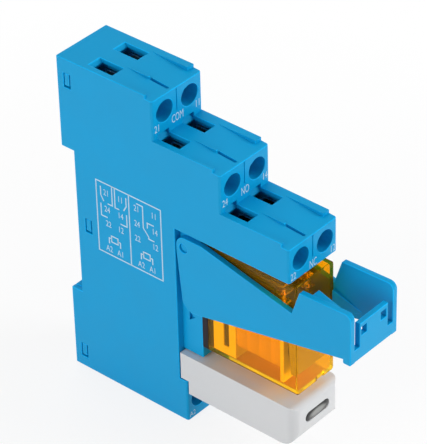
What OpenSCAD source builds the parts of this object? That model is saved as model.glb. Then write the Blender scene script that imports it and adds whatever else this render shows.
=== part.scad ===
// Two-pole interface relay: a stepped screw socket for a 35 mm rail, a plug-in relay under an amber
// cover, a swinging clip that holds the relay, and a plug-in indicator module.
// X runs along the rail, the front of the socket looks to -Y and +Z is up. The origin is in the middle
// of the width, on the front face of the rail, half way up the rail.

/* [Socket] */
// Width of the socket along the rail
socket_w = 15.8; // [15.2:0.1:19]
// Height of the top face above the middle of the rail
socket_top = 40.9; // [40.6:0.1:46]
// Depth of the bottom face below the middle of the rail
socket_bottom = 41.6; // [41:0.1:46]
// Front face of the top step, in front of the rail
step_1_front = 23.6; // [22.6:0.1:24]
// Front face of the middle step, in front of the rail
step_2_front = 42.0; // [41.6:0.1:42.3]
// Front face of the lowest step, in front of the rail
step_3_front = 60.3; // [59.8:0.1:62]
// Height of the top step
step_1_h = 10.8; // [10.2:0.1:11.2]
// Height of the middle step
step_2_h = 10.5; // [10:0.1:11]
// Height of the lowest step
step_3_h = 9.6; // [9.2:0.1:10]
// Front edge of the lower side walls, in front of the rail
side_front = 28.7; // [28.4:0.1:28.9]
// Front face of the coil terminals, in front of the rail
lug_front = 30.9; // [30.4:0.1:31]
// Height of the coil terminal step
lug_h = 11.0; // [10.6:0.1:11.4]
// Front face of the block that the relay plugs into
seat_front = 34.4; // [34.2:0.1:36]
// Thickness of the outer walls
wall = 1.2; // [1:0.05:1.3]
// Thickness of the wall between the two poles
mid_wall = 1.0; // [0.8:0.05:1.1]
// Radius on the upright front edges
edge_r = 0.6; // [0.3:0.1:1]
// Depth of the upper part behind the front of the rail
rear_upper = 3.6; // [3.4:0.1:5]
// Depth of the lower part behind the front of the rail
rear_lower = 3.15; // [3:0.05:4]

/* [Rail] */
// Height of the rail
rail_h = 35; // [34.8:0.1:35.2]
// Thickness of the rail flange
rail_t = 1.0; // [0.8:0.1:1.2]
// Play between the rail and the hook or latch
rail_play = 0.3; // [0.2:0.05:0.4]
// Height of the fixed hook behind the flange
hook_h = 1.7; // [1.2:0.1:2.2]
// Width of the fixed hook
hook_w = 9.0; // [6:0.5:11]
// Gap below the rail in which the latch nose works
latch_gap = 2.65; // [2.3:0.05:3.5]
// Width of the latch rib
latch_w = 5.6; // [4.6:0.2:6.4]
// Downward travel of the latch
latch_travel = 2.5; // [1.8:0.1:2.6]

/* [Terminals] */
// Height of a screw below the top of its step
screw_drop = 5.0; // [4.9:0.1:5.1]
// Diameter of the screwdriver hole
driver_hole_d = 5.2; // [5:0.1:5.3]
// Diameter of the screw head
screw_head_d = 4.6; // [4:0.1:4.6]
// Height of the screw head
screw_head_h = 2.0; // [1.6:0.1:2.1]
// Depth of the screw head behind the face of the step
screw_sink = 3.8; // [3.6:0.1:4]
// Diameter of the screw thread
screw_d = 3.0; // [2.5:0.1:3]
// Height of a clamp cage
cage_h = 4.2; // [3.8:0.1:4.2]
// Length of a clamp cage
cage_l = 9.2; // [9:0.1:9.6]
// Thickness of the threaded end of a cage
cage_collar = 1.8; // [1.4:0.1:1.9]
// Thickness of the other walls of a cage
cage_wall = 0.8; // [0.6:0.05:0.85]
// Travel of a cage along its screw
cage_travel = 3.2; // [2.6:0.1:3.2]
// Width of a wire slot
wire_slot_w = 3.5; // [3:0.1:3.5]
// Length of a wire slot
wire_slot_l = 6.1; // [5.6:0.1:6.2]
// Sideways shift of the wire slots from the screws
wire_slot_shift = 0.95; // [0.6:0.05:1]
// Drop of the sloped lane between a wire slot and the face
lane_drop = 1.0; // [0.6:0.1:1.1]
// Length of the cut at the front end of the rims
rim_cut = 2.0; // [1.2:0.1:3]

/* [Conductors] */
// Thickness of a conductor strip
strip_t = 0.8; // [0.6:0.05:0.85]
// Sideways distance between the relay pins
pin_pitch_x = 7.5; // [7.3:0.1:7.7]
// Height pitch between the contact pins
pin_pitch_z = 5.0; // [4.8:0.1:5.1]
// Width of a pin
pin_w = 1.0; // [0.8:0.1:1.2]
// Thickness of a pin
pin_t = 0.5; // [0.4:0.05:0.6]
// Length of a relay pin below the base
pin_l = 2.8; // [2.4:0.1:2.8]
// Thickness of a fork leaf
leaf_t = 0.45; // [0.35:0.05:0.5]

/* [Relay] */
// Height of the relay
relay_h = 29.0; // [28.8:0.1:29.2]
// Depth of the relay in front of its seat
relay_depth = 26.5; // [26.3:0.1:27]
// Gap between the relay and the step above it
relay_gap = 1.4; // [1.2:0.1:1.6]
// Wall of the relay cover
cover_wall = 0.8; // [0.6:0.05:0.9]
// Radius on the edges of the relay cover
cover_r = 0.8; // [0.4:0.1:1]
// Thickness of the base flange
base_flange = 1.5; // [1.2:0.1:1.6]
// Room between the winding and the yoke
coil_room = 2.0; // [1.6:0.1:2.6]
// Wall of the bobbin tube
tube_wall = 0.6; // [0.4:0.1:0.8]
// Diameter of the iron core
core_d = 4.8; // [4:0.1:5]
// Diameter of the pole face
pole_d = 7.4; // [6:0.1:8]
// Thickness of the yoke
yoke_t = 1.3; // [1.1:0.05:1.35]
// Thickness of the armature
armature_t = 1.1; // [0.9:0.05:1.2]
// Angle by which the armature stands off the pole
armature_open = 4.2; // [3.6:0.1:4.3]
// Thickness of a moving contact spring
spring_t = 0.25; // [0.2:0.01:0.3]
// Diameter of a contact button
contact_d = 2.6; // [2:0.1:2.8]

/* [Clip] */
// Play between the clip or the module and the sides of the socket
side_inset = 0.15; // [0.1:0.05:0.3]
// Pivot, in front of the rail
pivot_front = 30.9; // [30.8:0.1:31]
// Pivot, below the underside of the lowest step
pivot_drop = 4.3; // [4.2:0.1:4.5]
// Diameter of the pivot boss
pivot_d = 2.1; // [1.8:0.1:2.8]
// Running clearance round the pivot boss
pivot_play = 0.08; // [0.05:0.01:0.1]
// Thickness of the arms
arm_t = 1.4; // [1.2:0.05:1.5]
// Reach of the clip in front of the lowest step
clip_reach = 16.2; // [15:0.1:20]
// Thickness of the front panel
panel_t = 1.3; // [1:0.1:1.5]
// Width of the front panel
panel_w = 9.4; // [9.2:0.1:10.4]
// Width of the holes in the front panel
panel_hole = 1.8; // [1:0.1:2]

/* [Indicator module] */
// Height of the module
module_h = 10.5; // [10.2:0.1:11]
// Front face of the module, in front of the rail
module_front = 61.4; // [60:0.1:66]
// Gap between the relay and the module
module_gap = 2.9; // [2.9:0.1:3.2]
// Wall of the module housing
module_wall = 1.0; // [0.8:0.1:1.1]
// Radius on the lower front edge of the module
module_r = 4.0; // [2:0.1:4.4]
// Width of the indicator window
window_w = 8.0; // [5:0.1:9]
// Height of the indicator window
window_h = 2.6; // [2:0.1:3]

/* [Clearances] */
// Gap at faces that pass each other
slide_gap = 0.15; // [0.1:0.01:0.2]
// Gap at parts that are pushed into a seat
seat_gap = 0.08; // [0.05:0.01:0.1]
// Running clearance of a screw in its cage
thread_gap = 0.05; // [0.03:0.01:0.08]
// Gap between the indicator module and the socket
module_play = 0.3; // [0.2:0.05:0.4]

/* [Hidden] */

$fn = 48;
arc_steps = 8;
cut = 1;
left = -1;
right = 1;

socket_blue = [0.12, 0.56, 0.82];
amber = [0.96, 0.62, 0.12, 0.55];
steel = [0.75, 0.76, 0.78];
brass = [0.82, 0.70, 0.42];
iron = [0.42, 0.41, 0.40];
near_black = [0.13, 0.12, 0.14];
off_white = [0.84, 0.84, 0.84];

// Half widths
socket_x = socket_w / 2;
inner_x = socket_x - wall;
mid_x = mid_wall / 2;
pole_x = socket_w / 4;
pin_x = pin_pitch_x / 2;
clip_x = socket_x - side_inset;
arm_x = clip_x - arm_t;
relay_x = arm_x - slide_gap;
module_x = socket_x - side_inset;
cage_w = 2 * (inner_x - slide_gap - pole_x);
strip_w = cage_w - 2 * (cage_wall + 2 * slide_gap);

// Levels from the top: common, normally open, normally closed, then the coil level at the bottom
COMMON = 0;
OPEN = 1;
CLOSED = 2;
COIL = 3;
contact_levels = [COMMON, OPEN, CLOSED];
levels = [COMMON, OPEN, CLOSED, COIL];
step_tops = [socket_top, socket_top - step_1_h, socket_top - step_1_h - step_2_h];
step_fronts = [step_1_front, step_2_front, step_3_front, lug_front];
under_steps = step_tops[CLOSED] - step_3_h;
lug_top = lug_h - socket_bottom;
function face_y(level) = -step_fronts[level];
function wire_slot_x(side) = side * pole_x - wire_slot_shift;
function screw_z(level) = level == COIL ? screw_drop - socket_bottom : step_tops[level] - screw_drop;

// Terminal pieces along a screw, counted back from the face of the step
tip_gap = 0.1;
cage_end_gap = 0.2;
strip_inset = 1.2;
chamber_sink = screw_sink + screw_head_h + tip_gap;
cage_sink = screw_sink + screw_head_h + cage_travel + cage_end_gap;
plate_sink = cage_sink + cage_collar + strip_inset;
wire_slot_sink = plate_sink + tip_gap;
chamber_up = cage_h / 2 + cage_end_gap;
chamber_down = cage_h / 2 + strip_t + 2 * slide_gap;
driver_slot_w = 0.8;
driver_slot_depth = 1.0;
driver_cross_l = 2.6;
driver_cross_depth = 1.4;

// Tops and faces of the steps
lane_half_w = 2.9;
left_rim = 0.7;
ridge_w = 0.5;
groove_w = 0.8;
groove_l = 5.1;
groove_front = 0.9;
groove_floor = 0.4;
groove_depth = lane_drop + groove_floor;
lead_in = 0.8;
slot_lip = 0.25;
slot_relief = 1.2;
slot_left = 1.4;
divider_w = 0.3;
divider_raise = 0.15;
divider_l = 5.3;

// Rail, hook and rear cover
hook_z = rail_h / 2 + rail_play;
latch_z = -rail_h / 2 - latch_gap;
cover_t = 1.5;
roof_t = 1.3;
latch_release = 1.0;
nose_catch = latch_travel - latch_release;
latch_flange = 0.9;
latch_flange_t = 1.0;
latch_recess = 0.1;
latch_y = [rail_t + latch_recess, rail_t + latch_recess + latch_flange_t];
latch_slot = [3.6, 1.4, 1.6];
// Snap windows in the side walls: depth and height of their middles
snap_h = 3.6;
snap_w = 1.9;
snap_behind = 2.8;
snap_arm_t = 1.0;
snap_room = 0.4;
snap_top_drop = 5.5;
snap_mid_front = 3.2;
snap_mid_drop = 0.9;
snap_low_rise = 4.5;
snap_places = [[rear_upper - snap_behind, socket_top - snap_top_drop], [-snap_mid_front, -snap_mid_drop],
    [rear_lower - snap_behind, snap_low_rise - socket_bottom]];

// Relay seat and pins
relay_top = under_steps - relay_gap;
relay_bottom = relay_top - relay_h;
seat_bottom = relay_bottom - module_gap + module_play;
pin_inset = 2.6;
coil_pin_inset = 3.2;
open_pin_z = relay_top - pin_inset;
closed_pin_z = open_pin_z - pin_pitch_z;
common_pin_z = closed_pin_z - pin_pitch_z;
coil_pin_z = relay_bottom + coil_pin_inset;
pin_heights = [common_pin_z, open_pin_z, closed_pin_z, coil_pin_z];
leaf_gap = pin_t + 2 * thread_gap;
fork_h = leaf_gap + 2 * leaf_t;
fork_w = 2.6;
seat_skin = 0.8;
fork_front = -seat_front + seat_skin;
pin_lead = 0.2;
fork_root = fork_front + pin_l + 2 * strip_t;
// The closed strip steps sideways past the open fork on a narrow riser
riser_w = 1.4;
riser_x = [mid_x + pin_lead, mid_x + pin_lead + riser_w];
closed_root = pin_l - seat_front + pin_lead;
skirt_t = 1.5;
cavity_front = -side_front + skirt_t;
module_fork_l = 2.8;
recess_w = 1.6;
recess_h = 2.3;
recess_up = 7.3;
shelf_t = 1.2;

// Relay works, counted forward from the seat
base_y = -seat_front - base_flange;
plug_t = 1.0;
block_t = 3.0;
works_gap = 0.2;
works_y = base_y - plug_t;
block_y = works_y - block_t;
spool_y = block_y - yoke_t;
flange_t = 2.0;
winding_y = spool_y - flange_t;
front_flange_t = 1.0;
pole_t = 0.6;
armature_room = 2.9;
pole_y = -seat_front - relay_depth + cover_wall + armature_room;
winding_l = winding_y - front_flange_t - pole_t - pole_y;
works_x = relay_x - cover_wall - works_gap;
works_bottom = relay_bottom + cover_wall + works_gap;
foot_h = 2.1;
terminal_t = 0.8;
// The winding fills the room between the foot of the bobbin and the yoke under the common pins
coil_under = 2.8;
yoke_z = common_pin_z - terminal_t / 2 - works_gap;
winding_span = [works_bottom + coil_under, yoke_z - coil_room];
winding_d = min(winding_span[1] - winding_span[0], 2 * (works_x - works_gap));
coil_z = (winding_span[0] + winding_span[1]) / 2;
nib_x = [0.4, 2.8];
nib_h = 1.8;
nib_depth = 0.5;
bobbin_tube_d = core_d + 2 * (seat_gap + tube_wall);
yoke_top = yoke_z + yoke_t;
hinge_gap = 0.1;
hinge_y = pole_y + 2 * hinge_gap;
hinge_z = yoke_top + hinge_gap;
armature_gap = 0.05;
armature_over = 1.2;
card_lever = 7.0;
card_t = 1.2;
card_stem_w = 1.4;
card_bar_h = 0.8;
card_bar_inset = 0.6;
card_gap = 0.1;
leg_over = 1.0;
leg_l = card_lever + leg_over;
leg_z = hinge_z + leg_l * sin(armature_open) + hinge_gap;
card_y = hinge_y + card_lever;
card_foot = leg_z + armature_t - card_lever * sin(armature_open) + card_gap;

// Contact set: the springs move between the closed contacts below and the open contacts above
fixed_t = 0.5;
contact_w = 2.7;
contact_x = about(works_x, -works_gap - contact_w, -works_gap);
spring_w = 3.5;
spring_side = 0.3;
spring_x = about(works_x, -spring_side - spring_w, -spring_side);
common_riser_w = 1.1;
common_riser_gap = 0.4;
common_riser = about(contact_x[0], -common_riser_gap - common_riser_w, -common_riser_gap);
contact_set = 2.4;
contact_y = hinge_y + contact_set;
blade_end = 1.8;
spring_z = closed_pin_z + contact_set;
root_gap = 0.5;
spring_root = works_y - terminal_t - root_gap;
rivet_low = 1.3;
rivet_high = 0.95;
contact_gap = 0.07;
card_lift = card_lever * armature_open * PI / 180;
spring_turn = card_lift / (spring_root - card_y);
open_gap = spring_turn * (spring_root - contact_y) + contact_gap;
coil_pin_root = 1.8;

// Clip outline: an arm round the pivot, a notch under the lowest step and a box in front of it
pivot = [-pivot_front, under_steps - pivot_drop];
pivot_root = 0.3;
pivot_recess = 0.45;
weld = 0.2;
clip_soft_r = 0.4;
arm_up = 2.8;
arm_l = 5.1;
arm_waist = 1.2;
arm_r = 2.4;
tail_drop = 16.1;
tail_l = 4.1;
tail_r = 3.0;
heel = [1.5, 0.6];
notch_play = 0.45;
notch_drop = 2.95;
notch_w = 2.1;
box_up = 3.7;
box_slope = 0.4;
box_drop = 9.3;
box_r = 1.6;
lip_l = 2.1;
lip_h = 1.0;
bridge_h = 3.4;
panel_drop = 3.6;
panel_hole_drop = 2.2;
panel_hole_pitch = 6.5;
panel_hole_h = 2.1;
clip_front = step_3_front + clip_reach;
clip_rear = -side_front - weld;
clip_top = pivot.y + arm_up;
clip_notch = [-step_3_front - notch_play, pivot.y - notch_drop];
clip_tail = [-pivot_front - tail_l, pivot.y - tail_drop];
clip_box_top = pivot.y + box_up;
clip_box_bottom = pivot.y - box_drop;
clip_box_rear = clip_notch.x - notch_w;
clip_lip_rear = -clip_front + lip_l;
bridge_top = clip_box_bottom + bridge_h;
panel_top = clip_box_top - panel_drop;

// Snap wedges in front of the relay, and the finger web on the left arm
wedge_front = -seat_front - relay_depth - slide_gap;
wedge_l = 7.2;
wedge_in = 0.9;
wedge_drop = 1.4;
wedge_h = 5.6;
wedge_slopes = [2.0, 3.0];
finger_rear = clip_box_rear - notch_w;
finger_front = -clip_front + panel_t + weld;
finger_in = 2.6;
finger_h = 3.0;
finger_drop = 0.8;
finger_slit = [0.4, 1.7];

// Module
module_top = relay_bottom - module_gap;
module_bottom = module_top - module_h;
module_rear = -side_front - module_play;
module_step = [-lug_front - module_play, lug_top + module_play];
module_inner = module_x - module_wall;
module_edge_r = 1.6;
module_corner_r = 2.4;
plug_depth = 1.8;
blade_z = (module_top + module_step.y) / 2;
blade_w = 2.0;
blade_t = pin_t;
blade_tip = cavity_front + module_fork_l - pin_lead;
blade_foot = 2.2;
board_t = 1.0;
board_rise = 2.2;
board_z = module_bottom + module_wall + board_rise;
board_front = 2.5;
board_gap = 0.4;
led_d = 3.0;
led_l = 4.0;
led_rim = 0.7;
led_leg = 0.5;
led_gap = 0.8;
diode_d = 2.2;
diode_l = 4.6;
diode_lead = 1.3;
window_drop = 4.4;
window_z = module_top - window_drop;
window_inset = 0.15;

// The two limits of a stretch about a middle, or at two distances from a place
function within(middle, half) = [middle - half, middle + half];
function about(place, low, high) = [place + low, place + high];

// A box between two limits on each axis
module span(x, y, z) {
    translate([x[0], y[0], z[0]])
        cube([x[1] - x[0], y[1] - y[0], z[1] - z[0]]);
}

// A box on one side of the middle plane
module side_span(side, x, y, z) {
    if (side == right) span(x, y, z);
    else mirror([1, 0, 0]) span(x, y, z);
}

// A round bar along Y
module bar_y(d, x, y, z) {
    translate([x, y[1], z])
        rotate([90, 0, 0]) cylinder(d = d, h = y[1] - y[0]);
}

// A round bar along Z
module bar_z(d, x, y, z) {
    translate([x, y, z[0]]) cylinder(d = d, h = z[1] - z[0]);
}

// A side outline in Y and Z, carried along X
module side_slab(x) {
    translate([x[0], 0, 0])
        rotate([90, 0, 90]) linear_extrude(x[1] - x[0]) children();
}

// An outline in X and Z, carried along Y
module depth_slab(y) {
    translate([0, y[1], 0]) rotate([90, 0, 0]) linear_extrude(y[1] - y[0]) children();
}

// The same shape on both sides of the middle plane
module both_sides() {
    children();
    mirror([1, 0, 0]) children();
}

// Corners given as [x, y, radius], turned into an outline with round corners
function unit(v) = v / norm(v);
function flat(p) = [p.x, p.y];
function corner_arc(before, at, after, r) =
    let (u = unit(flat(before) - flat(at)), v = unit(flat(after) - flat(at)), half = acos(u * v) / 2)
    let (centre = flat(at) + unit(u + v) * r / sin(half))
    let (start = flat(at) + u * r / tan(half) - centre, end = flat(at) + v * r / tan(half) - centre)
    let (from = atan2(start.y, start.x), turn = (atan2(end.y, end.x) - from + 540) % 360 - 180)
    [for (i = [0 : arc_steps])
        let (angle = from + turn * i / arc_steps)
        centre + r * [cos(angle), sin(angle)]];
function rounded(p) = [for (i = [0 : len(p) - 1])
    let (before = p[(i + len(p) - 1) % len(p)], after = p[(i + 1) % len(p)])
    each p[i][2] > 0 ? corner_arc(before, p[i], after, p[i][2]) : [flat(p[i])]];

// A block whose upright front edges are round
module front_block(half_w, y, z, r) {
    translate([0, 0, z[0]]) linear_extrude(z[1] - z[0])
        polygon(rounded([[-half_w, y[0], r], [half_w, y[0], r], [half_w, y[1], 0], [-half_w, y[1], 0]]));
}

// Socket

module socket_blocks() {
    full = socket_x;
    front_block(full, [face_y(COMMON), rear_upper], [hook_z, socket_top], edge_r);
    front_block(full, [face_y(OPEN), 0], [under_steps, step_tops[OPEN]], edge_r);
    front_block(full, [face_y(CLOSED), 0], [under_steps, step_tops[CLOSED]], edge_r);
    span([-full, full], [-side_front, 0], [-socket_bottom, under_steps + cut]);
    span([-full, full], [-cut, rear_lower], [-socket_bottom, latch_z]);
    front_block(full, [-lug_front, -side_front + cut], [-socket_bottom, lug_top], edge_r);
    span([-relay_x, relay_x], [-seat_front, -side_front + cut], [seat_bottom, under_steps + cut]);
    for (level = contact_levels) face_divider(level);
}

// The thin upright line between the two holes of a step
module face_divider(level) {
    top = step_tops[level] - lane_drop - divider_w;
    span(within(0, divider_w / 2), about(face_y(level), -divider_raise, cut), [top - divider_l, top]);
}

// Sloped lanes, cut rims, and a thin ridge between the lanes that ends in a short groove
module step_top_cuts(level) {
    front = face_y(level);
    top = step_tops[level];
    lane_l = wire_slot_sink;
    ridge = about(wire_slot_x(left) + lane_half_w, 0, ridge_w);
    lanes = [[wire_slot_x(left) - lane_half_w + left_rim, ridge[0]],
        [ridge[1], wire_slot_x(right) + lane_half_w]];
    for (lane = lanes)
        side_slab(lane)
            polygon([[front - cut, top + cut], [front - cut, top - lane_drop], [front, top - lane_drop],
                [front + lane_l, top], [front + lane_l, top + cut]]);
    rim_z = top - lane_drop * (1 - rim_cut / lane_l);
    side_slab([-socket_x - cut, socket_x + cut])
        polygon([[front - cut, top + cut], [front - cut, top - lane_drop], [front, top - lane_drop],
            [front + rim_cut, rim_z], [front + rim_cut, top + cut]]);
    span(about(ridge[0], 0, groove_w), about(front, groove_front, groove_front + groove_l),
        [top - groove_depth, top + cut]);
}

// Wire slot with its sloped lead-in, from the top of a step or from the bottom of the socket
module wire_slot(side, level) {
    x0 = wire_slot_x(side) - slot_left;
    x1 = x0 + wire_slot_w;
    y0 = face_y(level) + wire_slot_sink;
    outer = level == COIL ? -socket_bottom : step_tops[level];
    inner = screw_z(level);
    span([x0, x1], [y0, y0 + wire_slot_l], [min(inner, outer - cut), max(inner, outer + cut)]);
    if (level != COIL) {
        span([x0, min(x1 + slot_relief, inner_x)], [y0, y0 + wire_slot_l + slot_relief],
            [inner, outer - lead_in - slot_lip]);
        side_slab([x0, x1])
            polygon([[y0, outer + cut], [y0, outer - lead_in], [y0 + wire_slot_l, outer - lead_in],
                [y0 + wire_slot_l + lead_in + cut, outer + cut]]);
    }
}

// Room for a screw and its cage, open to the rear cover
module terminal_chamber(side, level) {
    z = screw_z(level);
    flip = level == COIL ? -1 : 1;
    z_ends = [z - flip * chamber_down, z + flip * chamber_up];
    rear = level == CLOSED ? -cover_t : level == COIL ? 0 : rear_upper - cover_t;
    bar_y(driver_hole_d, side * pole_x, [face_y(level) - cut, face_y(level) + chamber_sink + cut], z);
    side_span(side, [mid_x, inner_x], [face_y(level) + chamber_sink, rear], [min(z_ends), max(z_ends)]);
}

// Ways for the conductor strips through the floors and into the relay seat
module strip_ways(side) {
    x = [min(pin_x - fork_w / 2, pole_x - strip_w / 2) - seat_gap,
        max(pin_x + fork_w / 2, pole_x + strip_w / 2) + seat_gap];
    fork_z = fork_h / 2 + 2 * seat_gap;
    common_y = face_y(COMMON) + plate_sink;
    open_y = face_y(OPEN) + plate_sink;
    coil_y = face_y(COIL) + plate_sink;
    side_span(side, x, about(common_y, -seat_gap, strip_t + seat_gap), [0, screw_z(COMMON)]);
    side_span(side, x, about(open_y, -seat_gap, strip_t + seat_gap), [open_pin_z - fork_z, screw_z(OPEN)]);
    side_span(side, riser_x + [-seat_gap, seat_gap], about(closed_root, -seat_gap, strip_t + seat_gap),
        [closed_pin_z - fork_z, screw_z(CLOSED)]);
    side_span(side, x, about(coil_y, -seat_gap, strip_t + seat_gap), [screw_z(COIL), 0]);
    side_span(side, x, [fork_front, open_y + strip_t], within(open_pin_z, fork_z));
    side_span(side, [riser_x[0] - seat_gap, x[1]], [fork_front, cavity_front + cut],
        within(closed_pin_z, fork_z));
    for (z = [common_pin_z, coil_pin_z])
        side_span(side, x, [fork_front, cavity_front + cut], within(z, fork_z));
    for (z = pin_heights)
        side_span(side, within(pin_x, pin_w / 2 + pin_lead), [-seat_front - cut, fork_front + cut],
            within(z, pin_t / 2 + pin_lead));
    side_span(side, within(pin_x, blade_w / 2 + pin_lead), [-side_front - cut, cavity_front + cut],
        within(blade_z, blade_t / 2 + pin_lead));
}

// The hollow behind the relay seat, and the bed of the rear cover
module rear_hollow() {
    shelf = screw_z(COIL) + chamber_down + shelf_t;
    both_sides()
        span([mid_x, inner_x], [cavity_front, cut], [shelf, under_steps]);
    bed = [-inner_x, inner_x];
    span(bed, [rear_upper - cover_t, rear_upper + cut], [hook_z - cut, socket_top - roof_t]);
    span(bed, [-cover_t, rear_upper + cut], [hook_z - cut, hook_z + cover_t]);
    span(bed, [-cover_t, cut], [latch_z - cover_t, hook_z + cut]);
    span(bed, [0, rear_lower + cut], [-socket_bottom - cut, latch_z + cut]);
}

module snap_window(place) {
    both_sides()
        span([inner_x - cut, socket_x + cut], within(place[0], snap_w / 2),
            within(place[1], snap_h / 2));
}

// Three-cornered recess in the side of the relay seat
module seat_recess() {
    y = -(seat_front + side_front) / 2;
    z = relay_bottom + recess_up;
    side_slab([relay_x - seat_skin, relay_x + cut])
        polygon([[y - recess_w / 2, z], [y + recess_w / 2, z + recess_h / 2],
            [y + recess_w / 2, z - recess_h / 2]]);
}

module socket_body() {
    color(socket_blue) {
        difference() {
            socket_blocks();
            for (level = contact_levels) step_top_cuts(level);
            for (level = levels, side = [left, right]) {
                wire_slot(side, level);
                terminal_chamber(side, level);
            }
            for (side = [left, right]) strip_ways(side);
            rear_hollow();
            for (place = snap_places) snap_window(place);
            both_sides() seat_recess();
        }
        both_sides()
            translate([relay_x - pivot_root, pivot.x, pivot.y])
                rotate([0, 90, 0]) cylinder(d = pivot_d, h = clip_x - pivot_recess - relay_x + pivot_root);
    }
}

// Stepped plate behind the socket, with the fixed rail hook and the guide of the latch
module rear_cover() {
    x = inner_x - seat_gap;
    rail_hook = [rail_t + rail_play, rear_upper];
    color(socket_blue) {
        difference() {
            union() {
                span([-x, x], [rear_upper - cover_t + seat_gap, rear_upper],
                    [hook_z, socket_top - roof_t - seat_gap]);
                span([-x, x], [-cover_t + seat_gap, rear_upper], [hook_z, hook_z + cover_t - seat_gap]);
                span([-x, x], [-cover_t + seat_gap, 0], [latch_z - cover_t + seat_gap, hook_z + cut]);
                span([-x, x], [-cover_t + seat_gap, rear_lower], [latch_z - cover_t + seat_gap, latch_z]);
                span([-x, x], [seat_gap, rear_lower], [-socket_bottom, latch_z]);
                span([-hook_w / 2, hook_w / 2], rail_hook, [hook_z - rail_play - hook_h, hook_z + cut]);
            }
            latch_guide(slide_gap);
        }
        for (place = snap_places) snap_tab(place);
    }
}

// Snap arm that reaches forward from the cover and fills a side window
module snap_tab(place) {
    x = inner_x - seat_gap;
    tab_y = about(place[0], -snap_w / 2 + snap_room, snap_w / 2 - slide_gap);
    tab_z = about(place[1], -snap_h / 2 + snap_room, snap_h / 2 - slide_gap);
    both_sides() {
        span([x - snap_arm_t, x], [tab_y[0], tab_y[1] + cover_t], tab_z);
        span([x - snap_arm_t, socket_x - slide_gap], tab_y, tab_z);
    }
}

// Space of the latch with a gap all round, and the latch itself when the gap is nothing
module latch_guide(gap) {
    z = [-socket_bottom - (gap > 0 ? cut : 0), latch_z + (gap > 0 ? cut : 0)];
    span(within(0, latch_w / 2 + latch_flange + gap), latch_y + [-gap, gap], z);
    span(within(0, latch_w / 2 + gap), [latch_y[0], rear_lower + (gap > 0 ? cut : -latch_recess)], z);
}

// Sprung foot: its nose holds the lower flange of the rail, a screwdriver pulls its slot down
module rail_latch() {
    nose_y = [rail_t + rail_play, rear_lower - latch_recess];
    nose_top = -rail_h / 2 + nose_catch;
    nose_tip = 0.5;
    color(near_black)
        difference() {
            union() {
                latch_guide(0);
                side_slab([-latch_w / 2, latch_w / 2])
                    polygon([[nose_y[0], latch_z - cut], [nose_y[1], latch_z - cut],
                        [nose_y[1], latch_z + nose_catch], [nose_y[0] + nose_tip, nose_top],
                        [nose_y[0], nose_top]]);
            }
            span(within(0, latch_slot[0] / 2), [latch_y[0] + latch_flange_t / 2, rear_lower + cut],
                about(-socket_bottom, latch_slot[2], latch_slot[2] + latch_slot[1]));
        }
}

// Terminals

module terminal_screw(side, level) {
    front = face_y(level) + screw_sink;
    tip = face_y(level) + plate_sink - tip_gap;
    z = screw_z(level);
    color(steel)
        difference() {
            union() {
                bar_y(screw_head_d, side * pole_x, [front, front + screw_head_h], z);
                bar_y(screw_d, side * pole_x, [front + cut, tip], z);
            }
            translate([side * pole_x, front, z]) {
                span(within(0, screw_head_d), [-cut, driver_slot_depth], within(0, driver_slot_w / 2));
                span(within(0, driver_slot_w / 2), [-cut, driver_cross_depth], within(0, driver_cross_l / 2));
            }
        }
}

// Folded box that draws the wire against the conductor strip
module clamp_cage(side, level) {
    y0 = face_y(level) + cage_sink;
    z = screw_z(level);
    color(steel)
        translate([side * pole_x, y0, z])
            difference() {
                span([-cage_w / 2, cage_w / 2], [0, cage_l], [-cage_h / 2, cage_h / 2]);
                span([-cage_w / 2 + cage_wall, cage_w / 2 - cage_wall], [cage_collar, cage_l - cage_wall],
                    [-cage_h, cage_h]);
                bar_y(screw_d + 2 * thread_gap, 0, [-cut, cage_collar + cut], 0);
            }
}

// Two leaves that grip a pin between them
module fork(side, y, z) {
    for (end = [-1, 1])
        side_span(side, within(pin_x, fork_w / 2), y, within(z + end * (leaf_gap + leaf_t) / 2, leaf_t / 2));
}

// Strip that stands behind the screw tip, from its clamp down or up to a height
module strip_plate(side, level, z_end) {
    y0 = face_y(level) + plate_sink;
    flip = level == COIL ? -1 : 1;
    clamp_end = screw_z(level) + flip * (cage_h / 2 + tip_gap);
    side_span(side, within(pole_x, strip_w / 2), [y0, y0 + strip_t],
        [min(z_end, clamp_end), max(z_end, clamp_end)]);
}

// Forward run of a strip with a fork at its end
module strip_run(side, y, root, z, front) {
    side_span(side, within(pole_x, strip_w / 2), [root, y], within(z, strip_t / 2));
    side_span(side, within(pin_x, fork_w / 2), [root, root + leaf_t], within(z, fork_h / 2));
    fork(side, [front, root + leaf_t / 2], z);
}

module common_strip(side) {
    y = face_y(COMMON) + plate_sink;
    color(brass) {
        strip_plate(side, COMMON, common_pin_z - strip_t / 2);
        strip_run(side, y + strip_t, fork_root, common_pin_z, fork_front);
    }
}

module open_strip(side) {
    y = face_y(OPEN) + plate_sink;
    color(brass) {
        strip_plate(side, OPEN, open_pin_z - fork_h / 2);
        fork(side, [fork_front, y + strip_t / 2], open_pin_z);
    }
}

module closed_strip(side) {
    y = face_y(CLOSED) + plate_sink;
    floor_z = screw_z(CLOSED) - chamber_down + seat_gap;
    root = [closed_root, closed_root + strip_t];
    color(brass) {
        strip_plate(side, CLOSED, floor_z);
        side_span(side, within(pole_x, strip_w / 2), [y, root[1]], about(floor_z, 0, strip_t));
        side_span(side, [riser_x[0], pole_x + strip_w / 2], root, about(floor_z, 0, strip_t));
        side_span(side, riser_x, root, [closed_pin_z - fork_h / 2, floor_z + strip_t]);
        side_span(side, [riser_x[0], pin_x + fork_w / 2], root, within(closed_pin_z, fork_h / 2));
        fork(side, [fork_front, root[0] + leaf_t], closed_pin_z);
    }
}

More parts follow.
